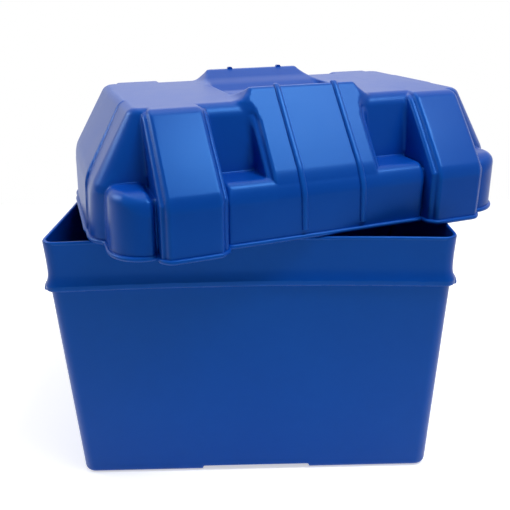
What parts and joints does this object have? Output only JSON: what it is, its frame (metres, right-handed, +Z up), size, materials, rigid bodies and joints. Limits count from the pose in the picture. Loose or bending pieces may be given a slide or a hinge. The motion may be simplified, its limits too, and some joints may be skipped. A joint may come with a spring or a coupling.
{
  "type": "battery box",
  "caption": "Deep open tub with a collar round its mouth, and a stepped, ribbed lid lying turned across it, in blue moulded plastic.",
  "frame": {"origin": "under the middle of the lid, on the plane that the tub stands on", "axes": "+X along the long walls of the tub, +Y towards its back wall, +Z up"},
  "size_m": [0.4742, 0.4188, 0.4244],
  "materials": {
    "blue_polypropylene": "satin"
  },
  "bodies": {
    "tub": {"tub": "blue_polypropylene"},
    "lid": {"lid": "blue_polypropylene"}
  },
  "joints": [
    {"name": "lid_lift", "type": "slide", "parent": "tub", "child": "lid", "axis": [0, 0, 1], "range_m": [0, 0.2]}
  ]
}
